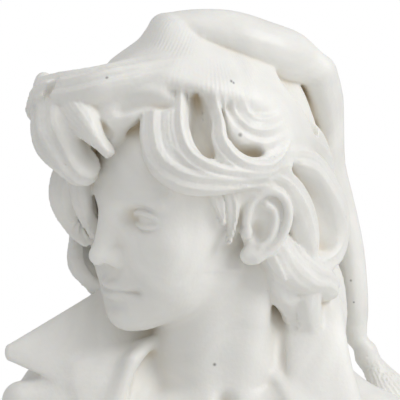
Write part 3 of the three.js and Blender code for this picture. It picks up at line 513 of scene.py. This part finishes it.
def work_tail(cap):
    """The cap's long end: folded back over the dome, then hanging, through a ring, down to its tassel."""
    roll = [[-8, 22, 157], [4, 6, 158], [16, -18, 153], [27, -48, 141], [34, -80, 128], [40, -104, 114]]
    cap.add(Strand([in_head(*p) for p in roll],
                   lambda t: mix(17, 26, ramp(t, 0, 0.45)) * mix(1, 0.55, ramp(t, 0.55, 1)),
                   lambda t: mix(14, 22, ramp(t, 0, 0.5)) * mix(1, 0.7, ramp(t, 0.75, 1)),
                   lambda p: HEAD[:, 2], marks=12, mark_depth=0.16), 1.5)
    fall = [V(83, 0, 426), V(89, 14, 408), V(92, 30, 386), V(96, 44, 350), V(105, 52, 318), V(114, 57, 276),
            V(118, 60, 232), V(119, 62, 204), V(128, 63, 188)]
    cap.add(Strand(fall, lambda t: mix(21, 8, ramp(t, 0.75, 1)),
                   lambda t: mix(17, 13, ramp(t, 0, 0.5)) * mix(1, 0.55, ramp(t, 0.88, 1)),
                   lambda p: V(1, 0, 0), marks=10, mark_depth=0.16), 4)
    cap.add(Egg(V(66, 14, 412), [22, 14, 28]), 6)  # closes the hollow's back
    cap.add(Bar(V(129, 63, 187), V(130, 63, 182), 10), 2)  # the ring
    tassel = [V(130, 63, 182), V(142, 62, 164), V(156, 56, 142), V(168, 50, 118)]
    cap.add(Strand(tassel, lambda t: mix(9, 26, ramp(t, 0, 0.8)), lambda t: mix(9, 13, t),
                   lambda p: V(0.3, -0.8, 0.5), marks=9, mark_depth=0.9), 4)


# ---------------------------------------------------------------- the hair

CROWN = in_head(0, 0, 20)  # the locks face away from here


def away_from_crown(place):
    away = place - CROWN
    return V(away[0], away[1], max(0.0, away[2]))


def lock(path, wide, thick, tip=0.35, root=0.8, grooves=2):
    """A lock through places in the stone, half as wide and thick as given, with a narrower root and tip."""
    return Strand(
        path,
        lambda t: wide * mix(root, 1, ramp(t, 0, 0.3)) * mix(1, tip, ramp(t, 0.5, 1)),
        lambda t: thick * mix(1, 0.6 + 0.4 * tip, ramp(t, 0.5, 1)),
        away_from_crown,
        grooves=grooves, groove_depth=1, marks=round(2 * wide / MARK_WIDTH), mark_depth=0.45)


# Hair combed over the skull. A place is degrees round from the brow, degrees up, and millimetres off the
# bone; wide and thick are half of what they name, and tip and root are shares of the width.
COMBED = [
    # the sweep over the brow
    dict(path=[[26, 66, 12], [34, 51, 15], [37, 40, 16], [42, 31, 16], [53, 25, 15], [68, 22, 15],
               [82, 21, 13], [94, 20, 8]], wide=17, thick=15, tip=0.45, grooves=3),
    dict(path=[[44, 64, 14], [48, 50, 19], [50, 39, 20], [55, 31, 20], [65, 26, 19], [78, 23, 18],
               [92, 22, 16]], wide=9, thick=14, tip=0.7),
    # the strand that dives behind it
    dict(path=[[57, 62, 14], [60, 50, 10], [61, 42, 4], [62, 34, -3]],
         wide=14, thick=9, tip=0.8, grooves=3),
    # the ridge behind the first hollow, curling up under the shell-like lobe
    dict(path=[[64, 64, 12], [70, 51, 17], [72, 42, 20], [71, 35, 21], [75, 29, 21], [83, 25, 20],
               [94, 24, 20], [105, 28, 19], [114, 34, 15]], wide=9, thick=14, tip=0.6),
    dict(path=[[75, 56, 9], [78, 44, 12], [84, 35, 15], [95, 31, 17], [108, 33, 17], [122, 37, 13]],
         wide=11, thick=12, tip=0.7, grooves=2),
    dict(path=[[80, 58, 11], [85, 47, 15], [90, 40, 19], [99, 38, 20], [111, 39, 18], [124, 42, 14]],
         wide=10, thick=13, tip=0.7, grooves=2),
    dict(path=[[82, 66, 8], [92, 57, 13], [104, 51, 15], [118, 47, 14], [134, 42, 11]],
         wide=12, thick=11, grooves=2),
    # over and behind the ear
    dict(path=[[97, 25, 9], [109, 25, 16], [122, 21, 22], [132, 11, 27], [137, 0, 34], [138, -8, 37],
               [133, -14, 35], [124, -18, 26]], wide=14, thick=14, tip=0.7, grooves=2),
    dict(path=[[100, 22, 7], [108, 17, 13], [114, 7, 18], [118, -4, 20], [121, -14, 20],
               [118, -24, 18]], wide=14, thick=13, tip=0.7, grooves=3),
    dict(path=[[110, 36, 12], [128, 34, 16], [144, 28, 20], [156, 18, 24], [162, 4, 29],
               [160, -10, 30]], wide=20, thick=15, tip=0.8, grooves=3),
    dict(path=[[88, 22, 8], [100, 18, 9], [112, 18, 10], [122, 12, 8]], wide=9, thick=9),
]

# The forelock, and from here on millimetres to the left, forward and up in the head.
FORELOCK = [
    dict(path=[[26, 34, 122], [15, 58, 124], [6, 76, 123], [-5, 91, 119], [-18, 101, 116],
               [-34, 108, 113], [-47, 112, 108], [-54, 112, 96]],
         wide=17, thick=15, tip=0.85, root=0.6, grooves=3),
    dict(path=[[14, 60, 108], [4, 76, 102], [-8, 88, 94], [-22, 94, 84]], wide=20, thick=18),
    dict(path=[[-20, 80, 96], [-30, 88, 82], [-34, 90, 66], [-34, 88, 54]], wide=22, thick=16),
    dict(path=[[30, 60, 112], [22, 74, 104], [14, 82, 92], [8, 84, 80]], wide=8, thick=8, tip=0.4),
]

# The thin crescent over the brow, and the full curl under it.
CURLS = [
    dict(path=[[-36, 103, 106], [-20, 107, 102], [-6, 108, 94], [5, 106, 84], [13, 99, 72]],
         wide=13, thick=12, tip=0.28, grooves=1),
    dict(path=[[-40, 105, 98], [-36, 112, 88], [-30, 115, 78], [-22, 115, 69], [-15, 112, 61],
               [-11, 108, 55]], wide=22, thick=20, tip=0.6, root=0.8, grooves=3),
    dict(path=[[-50, 104, 93], [-50, 109, 82], [-46, 111, 71], [-38, 112, 63], [-30, 110, 57]],
         wide=15, thick=15),
]

# Hair that falls past the right cheek, and in front of the left ear.
FALLING = [
    dict(path=[[-40, 84, 62], [-47, 92, 46], [-50, 96, 32], [-50, 96, 16], [-44, 92, 0],
               [-36, 86, -12]], wide=14, thick=12),
    dict(path=[[-28, 86, 52], [-32, 91, 38], [-31, 91, 22], [-28, 89, 8], [-22, 85, -6]],
         wide=10, thick=9),
    dict(path=[[-54, 70, 60], [-62, 76, 40], [-64, 78, 22], [-60, 76, 4], [-52, 74, -12]],
         wide=14, thick=13),
    dict(path=[[62, 34, 50], [65, 30, 38], [66, 25, 24], [66, 22, 10]], wide=6, thick=5),
    dict(path=[[66, 24, 48], [69, 18, 36], [69, 14, 22], [68, 14, 6], [67, 16, -6]], wide=5.5, thick=5),
]

# The hair under and behind the left ear.
NAPE = [
    # the full lock, and its end
    dict(path=[[70, -26, -14], [76, -38, -32], [80, -53, -44], [80, -68, -52], [79, -78, -60]],
         wide=20, thick=15, tip=0.7, grooves=3),
    dict(path=[[68, -34, -34], [69, -38, -54], [71, -46, -70], [76, -50, -88]],
         wide=15, thick=12, tip=0.25, grooves=3),
    # and the hair behind it
    dict(path=[[74, -60, -52], [73, -64, -76], [72, -70, -110]], wide=20, thick=13, tip=0.8),
    dict(path=[[34, -104, -44], [48, -108, -64], [60, -104, -88], [66, -98, -112], [66, -94, -140]],
         wide=17, thick=13, tip=0.9),
    dict(path=[[40, -66, -20], [46, -72, -48], [52, -78, -76], [56, -82, -104]],
         wide=26, thick=22, tip=0.6),
]

# Hollows drilled between the locks, over the skull and in the forelock: path, half width, half depth.
HOLLOWS = [
    ([[60, 54, 26], [61, 45, 22], [62, 37, 16], [63, 33, 16]], 9, 11),
    ([[75, 43, 24], [76, 36, 20], [80, 32, 18], [88, 30, 22]], 4.5, 10),
    ([[112, 19, 26], [121, 10, 29], [127, 0, 31], [129, -8, 33]], 4.5, 10),
]
FORELOCK_HOLLOWS = [
    ([[-13, 109, 103], [3, 105, 94], [12, 98, 82]], 6, 9),
    ([[-31, 117, 122], [-34, 119, 114], [-37, 119, 105]], 4.5, 4),
]


def work_hair():
    """Hair, worked in its own stone: its mass, the locks, the hollows, and the locks that cross those."""
    hair = Stone()
    hair.add(head_egg(0, -24, 46, [80, 88, 74]), 2)
    hair.add(head_egg(0, -20, 62, [86, 88, 62]), 10)
    hair.add(head_egg(0, 62, 112, [42, 24, 17]), 8)
    hair.add(head_egg(-14, 82, 88, [26, 18, 24]), 10)
    hair.add(head_egg(-55, 111, 117, [7, 8, 9]), 6)  # the forelock's corner
    hair.add(head_egg(0, -50, -6, [62, 50, 56]), 16)
    for form in COMBED:
        hair.add(lock(**{**form, "path": [over_skull(p) for p in form["path"]]}), 5)
    for form in FORELOCK + FALLING:
        hair.add(lock(**{**form, "path": [in_head(*p) for p in form["path"]]}), 3)
    for row in range(4):
        for n in range(7):
            around = -58 - n * 21 - (row % 2) * 10
            if row == 3 and n < 2:  # short behind the right cheek
                continue
            top = 52 - row * 25
            swing = 7 + 3 * math.sin(2.4 * n + row)
            path = [[around + 4, top + 10, 8], [around - swing, top + 1, 20],
                    [around - 0.4 * swing, top - 12, 25], [around + swing, top - 22, 24],
                    [around + 1.2 * swing, top - 32, 15]]
            hair.add(lock([over_skull(p) for p in path], 18, 11, tip=0.5), 3)
    hair.add(head_egg(58, -76, -6, [20, 28, 44]), 6)
    for hollows, placed in ((HOLLOWS, over_skull), (FORELOCK_HOLLOWS, lambda p: in_head(*p))):
        for path, wide, deep in hollows:
            hair.carve(Strand([placed(p) for p in path], lambda t: wide * mix(0.5, 1, ramp(t, 0, 0.6)),
                              lambda t: deep, away_from_crown), 4)
    for form in CURLS + NAPE:
        hair.add(lock(**{**form, "path": [in_head(*p) for p in form["path"]]}), 4)
    return hair


# ---------------------------------------------------------------- the carved surface


def carve_bust():
    """The whole stone, and the dome and the tail of the cap on their own, which say where the ribs run."""
    stone = Stone()
    work_shirt(stone)
    work_neck(stone)
    work_collar(stone)
    stone.cells = join(stone.cells, work_head().cells, 8)
    stone.cells = join(stone.cells, work_hair().cells, 3)
    dome, tail = Stone(), Stone()
    work_dome(dome)
    stone.cells = join(stone.cells, dome.cells, 12)
    open_recess(stone)
    open_gap(stone)
    work_tail(tail)
    stone.cells = join(stone.cells, tail.cells, 1.5)
    stone.cells = np.maximum(stone.cells, -stone.lines[2][None, None, :])  # sawn flat below
    return stone, dome, tail


def blurred(a, reach):
    """Mean over a cube that reaches so many cells each way."""
    for axis in range(3):
        pad = [(reach + 1, reach) if k == axis else (0, 0) for k in range(3)]
        run = np.cumsum(np.pad(a, pad, mode="edge"), axis=axis, dtype=np.float32)
        high = np.take(run, range(2 * reach + 1, run.shape[axis]), axis=axis)
        low = np.take(run, range(0, run.shape[axis] - 2 * reach - 1), axis=axis)
        a = (high - low) / (2 * reach + 1)
    return a


def sample(field, places, step):
    """Values of a field of cells at places in millimetres."""
    at = np.clip((places - BLOCK_LOW) / step, 0, np.array(field.shape) - 1.001)
    base = at.astype(int)
    part = at - base
    total = 0
    for n in range(8):
        bit = np.array([n & 1, n >> 1 & 1, n >> 2])
        weight = np.prod(np.where(bit, part, 1 - part), axis=1)
        i, j, k = (base + bit).T
        total = total + weight * field[i, j, k]
    return total


def skin_of(stone):
    """A smooth mesh over the stone, thinned where it is flat."""
    grid = openvdb.FloatGrid(float(FAR))
    grid.copyFromArray(stone.cells)
    grid.gridClass = openvdb.GridClass.LEVEL_SET
    points, quads = grid.convertToQuads(0.0)
    points = BLOCK_LOW + GRAIN * np.asarray(points, dtype=float)
    mesh = bpy.data.meshes.new("marble_bust_skin")
    mesh.from_pydata(points / 1000, [], np.asarray(quads).tolist())
    rough = bpy.data.objects.new("marble_bust_rough", mesh)
    bpy.context.scene.collection.objects.link(rough)
    thin = rough.modifiers.new("thin", "DECIMATE")
    thin.ratio = min(1.0, FINE_FACES / (2 * len(quads)))
    ready = rough.evaluated_get(bpy.context.evaluated_depsgraph_get())
    done = bpy.data.meshes.new_from_object(ready)
    bpy.data.objects.remove(rough)
    done.name = "marble_bust_carved"
    return done


def point_values(mesh, name, values):
    """Gives every corner of a mesh a value for its material to read."""
    attribute = mesh.attributes.new(name, "FLOAT", "POINT")
    attribute.data.foreach_set("value", np.asarray(values, dtype=np.float32))


def make_bust():
    """The carved bust, with values that tell the marble where to lay painted shade in its hollows and
    creases, and where it is knitted.
    """
    stone, dome, tail = carve_bust()
    mesh = skin_of(stone)
    places = np.empty(len(mesh.vertices) * 3, np.float32)
    mesh.vertices.foreach_get("co", places)
    places = places.reshape(-1, 3) * 1000.0
    solid = (stone.cells[::2, ::2, ::2] < 0).astype(np.float32)
    # How crowded with stone each corner of the skin is; this sets the painted shade in the creases and
    # hollows.
    for name, reach in (("crease", CREASE_REACH), ("hollow", HOLLOW_REACH)):
        cells = round(reach / (2 * GRAIN))
        crowded = blurred(blurred(solid, cells), cells)  # 0.5 on a flat, towards 1 deep between forms
        point_values(mesh, name, sample(crowded, places, 2 * GRAIN))
    on_dome = np.clip(1 - sample(dome.cells, places, GRAIN) / 1.5, 0, 1)
    off_tail = np.clip(sample(tail.cells, places, GRAIN) / 4, 0, 1)
    point_values(mesh, "knitted", on_dome * off_tail)
    mesh.polygons.foreach_set("use_smooth", np.ones(len(mesh.polygons), dtype=bool))
    bust = bpy.data.objects.new("carved_bust", mesh)
    bpy.context.scene.collection.objects.link(bust)
    return bust


# ---------------------------------------------------------------- materials

WHITE_STONE = "EFEEEA"
GREY_CLOUD = "E5E4E0"
# Painted shade: a warm beige laid into the hollows and a browner one into the deep creases, where shade
# falls.
HOLLOW_SHADE = "DED5C4"
CREASE_SHADE = "CDBB9A"
GREY_CRYSTAL = "8A8783"
FLOOR_PAINT = "F4F4F3"

# Real sizes in the stone's look, in millimetres. The rasp's marks and the knitting are drawn coarser than
# they are, so that they show: each mark and each rib stands for a few.
CLOUD_SIZE = 62
RASP_MARK, RASP_DEPTH = 3.85, 0.25
RIB_SPACING, RIB_DEPTH = 3.8, 0.1
CAP_GIRTH = 500
WORN_PATCH = 33  # where some of the ribs are rubbed away
LIGHT_SINKS = 1.4  # into the marble


def linear(hex_colour):
    """An sRGB hex colour as linear light."""
    channels = [int(hex_colour[i:i + 2], 16) / 255 for i in (0, 2, 4)]
    return (*(c / 12.92 if c <= 0.04045 else ((c + 0.055) / 1.055) ** 2.4 for c in channels), 1.0)


def noise_scale(patch):
    """Scale of a noise whose patches are so many millimetres across."""
    return round(1000 / patch)


def add_node(tree, kind, settings=(), links=(), **values):
    """Adds a node, sets its settings and socket values, and links (its input, from node, from output)."""
    node = tree.nodes.new(kind)
    for name, value in dict(settings).items():
        setattr(node, name, value)
    for name, value in values.items():
        node.inputs[int(name[1:]) if name[0] == "_" else name.replace("_", " ")].default_value = value
    for socket, source, output in links:
        tree.links.new(source.outputs[output], node.inputs[socket])
    return node


def cap_ribs(tree, place):
    """The knitted ribs of the cap, as waves that run down the dome from its top, some of them worn away."""
    ribs = round(CAP_GIRTH / RIB_SPACING)
    about_head = add_node(tree, "ShaderNodeMapping", {"vector_type": "TEXTURE"},
                          [("Vector", place, "Object")],
                          Location=in_head(0, -16, 0) / 1000, Rotation=Matrix(HEAD.tolist()).to_euler())
    split = add_node(tree, "ShaderNodeSeparateXYZ", links=[("Vector", about_head, "Vector")])
    around = add_node(tree, "ShaderNodeMath", {"operation": "ARCTAN2"}, [(0, split, "X"), (1, split, "Y")])
    phase = add_node(tree, "ShaderNodeMath", {"operation": "MULTIPLY"}, [(0, around, "Value")], _1=ribs)
    wave = add_node(tree, "ShaderNodeMath", {"operation": "SINE"}, [(0, phase, "Value")])
    knitted = add_node(tree, "ShaderNodeAttribute", {"attribute_name": "knitted"})
    worn = add_node(tree, "ShaderNodeTexNoise", links=[("Vector", place, "Object")],
                    Scale=noise_scale(WORN_PATCH))
    kept = add_node(tree, "ShaderNodeMapRange", links=[("Value", worn, "Fac")], From_Min=0.35, From_Max=0.6)
    here = add_node(tree, "ShaderNodeMath", {"operation": "MULTIPLY"},
                    [(0, knitted, "Fac"), (1, kept, "Result")])
    return add_node(tree, "ShaderNodeMath", {"operation": "MULTIPLY"},
                    [(0, wave, "Value"), (1, here, "Value")])


def dark_crystals(tree, place):
    """Where the small grey inclusions are: 1 in the middle of one, 0 away from them."""
    darkest = None
    for where, size in INCLUSIONS:
        away = add_node(tree, "ShaderNodeVectorMath", {"operation": "DISTANCE"}, [(0, place, "Object")],
                        _1=[c / 1000 for c in where])
        spot = add_node(tree, "ShaderNodeMapRange", {"interpolation_type": "SMOOTHSTEP"},
                        [("Value", away, "Value")], From_Min=0, From_Max=size / 1000, To_Min=1, To_Max=0)
        if darkest is not None:
            spot = add_node(tree, "ShaderNodeMath", {"operation": "MAXIMUM"},
                            [(0, darkest, 0), (1, spot, "Result")])
        darkest = spot
    return darkest


def statuary_marble():
    """White statuary marble, rasped and rubbed to a satin skin: light sinks in, so its shadows glow a
    little, and its hollows and creases are given a painted warm shade."""
    material = bpy.data.materials.new("statuary_marble")
    material.use_nodes = True
    tree = material.node_tree
    shader = tree.nodes["Principled BSDF"]
    place = add_node(tree, "ShaderNodeTexCoord")
    cloud = add_node(tree, "ShaderNodeTexNoise", links=[("Vector", place, "Object")],
                     Scale=noise_scale(CLOUD_SIZE), Detail=5, Distortion=1.2)
    faint = add_node(tree, "ShaderNodeMapRange", links=[("Value", cloud, "Fac")],
                     From_Min=0.35, From_Max=0.68)
    stone = add_node(tree, "ShaderNodeMix", {"data_type": "RGBA"}, [("Factor", faint, "Result")],
                     _6=linear(WHITE_STONE), _7=linear(GREY_CLOUD))
    # Painted shade: the hollows are tinted warm beige, darker the deeper they lie.
    hollow = add_node(tree, "ShaderNodeAttribute", {"attribute_name": "hollow"})
    hollow_shade_amount = add_node(tree, "ShaderNodeMapRange", {"interpolation_type": "SMOOTHSTEP"},
                         [("Value", hollow, "Fac")], From_Min=0.5, From_Max=0.95, To_Max=0.55)
    hollow_shaded = add_node(tree, "ShaderNodeMix", {"data_type": "RGBA"},
                      [("Factor", hollow_shade_amount, "Result"), (6, stone, "Result")], _7=linear(HOLLOW_SHADE))
    # Painted shade: the deepest creases are tinted browner still.
    crease = add_node(tree, "ShaderNodeAttribute", {"attribute_name": "crease"})
    deep = add_node(tree, "ShaderNodeMapRange", {"interpolation_type": "SMOOTHSTEP"},
                    [("Value", crease, "Fac")], From_Min=0.6, From_Max=0.98)
    crease_shaded = add_node(tree, "ShaderNodeMix", {"data_type": "RGBA"},
                     [("Factor", deep, "Result"), (6, hollow_shaded, "Result")], _7=linear(CREASE_SHADE))
    specks = dark_crystals(tree, place)
    spotted = add_node(tree, "ShaderNodeMix", {"data_type": "RGBA"},
                       [("Factor", specks, 0), (6, crease_shaded, "Result")], _7=linear(GREY_CRYSTAL))
    tree.links.new(spotted.outputs["Result"], shader.inputs["Base Color"])
    rasped = add_node(tree, "ShaderNodeTexNoise", links=[("Vector", place, "Object")],
                      Scale=noise_scale(RASP_MARK), Detail=2)
    rubbed = add_node(tree, "ShaderNodeBump", links=[("Height", rasped, "Fac")],
                      Strength=1, Distance=RASP_DEPTH / 1000)
    ribbed = add_node(tree, "ShaderNodeBump", links=[("Height", cap_ribs(tree, place), "Value"),
                                                     ("Normal", rubbed, "Normal")],
                      Strength=1, Distance=RIB_DEPTH / 1000)
    tree.links.new(ribbed.outputs["Normal"], shader.inputs["Normal"])
    shader.inputs["Roughness"].default_value = 0.42
    shader.inputs["IOR"].default_value = 1.49
    shader.inputs["Subsurface Weight"].default_value = 0.35
    shader.inputs["Subsurface Radius"].default_value = (1.0, 0.8, 0.55)
    shader.inputs["Subsurface Scale"].default_value = LIGHT_SINKS / 1000
    return material


def plain_floor():
    """Matt pale paint."""
    material = bpy.data.materials.new("pale_studio_floor")
    material.use_nodes = True
    shader = material.node_tree.nodes["Principled BSDF"]
    shader.inputs["Base Color"].default_value = linear(FLOOR_PAINT)
    shader.inputs["Roughness"].default_value = 0.8
    return material


# ---------------------------------------------------------------- the studio, in metres

CAMERA_AWAY = 1.7
VIEW_WIDTH = 0.34  # what the camera sees across the stone
LIGHTS_FACE = (0, 0, 0.3)
FLOOR_RADIUS = 1.2


def add_light(name, place, power, size):
    """A white square lamp that faces the head."""
    lamp = bpy.data.lights.new(name, "AREA")
    lamp.energy, lamp.size = power, size
    light = bpy.data.objects.new(name, lamp)
    bpy.context.scene.collection.objects.link(light)
    light.location = place
    light.rotation_euler = (Vector(LIGHTS_FACE) - Vector(place)).to_track_quat("-Z", "Y").to_euler()
    light.visible_camera = False


def studio():
    """A pale round floor, a white surround, two soft lamps and the camera."""
    scene = bpy.context.scene
    floor_mesh = bpy.data.meshes.new("floor")
    ring = [(math.cos(a) * FLOOR_RADIUS, math.sin(a) * FLOOR_RADIUS, -0.0005)
            for a in np.linspace(0, 2 * math.pi, 97)[:-1]]
    floor_mesh.from_pydata(ring, [], [list(range(96))])
    floor = bpy.data.objects.new("floor", floor_mesh)
    scene.collection.objects.link(floor)
    floor_mesh.materials.append(plain_floor())
    world = bpy.data.worlds.new("studio")
    scene.world = world
    world.use_nodes = True
    tree = world.node_tree
    sky = tree.nodes["Background"]  # white to look at, softer as a light
    seen = add_node(tree, "ShaderNodeLightPath")
    strength = add_node(tree, "ShaderNodeMapRange", links=[("Value", seen, "Is Camera Ray")],
                        To_Min=0.52, To_Max=1.0)
    tree.links.new(strength.outputs["Result"], sky.inputs["Strength"])
    sky.inputs["Color"].default_value = (1, 1, 1, 1)
    scene.view_settings.view_transform = "Standard"
    add_light("key_light", (1.5, -0.7, 1.2), 14, 0.8)
    add_light("front_light", (-0.2, -0.9, 1.9), 6, 0.9)
    lens = bpy.data.cameras.new("camera")
    camera = bpy.data.objects.new("camera", lens)
    scene.collection.objects.link(camera)
    camera.location = (-0.017, -CAMERA_AWAY, 0.32)
    camera.rotation_euler = (math.pi / 2, 0, 0)
    lens.lens = lens.sensor_width * CAMERA_AWAY / VIEW_WIDTH
    scene.camera = camera


bust = make_bust()
bust.data.materials.clear()
bust.data.materials.append(statuary_marble())
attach(bust, "root")
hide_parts("marble_bust")
studio()
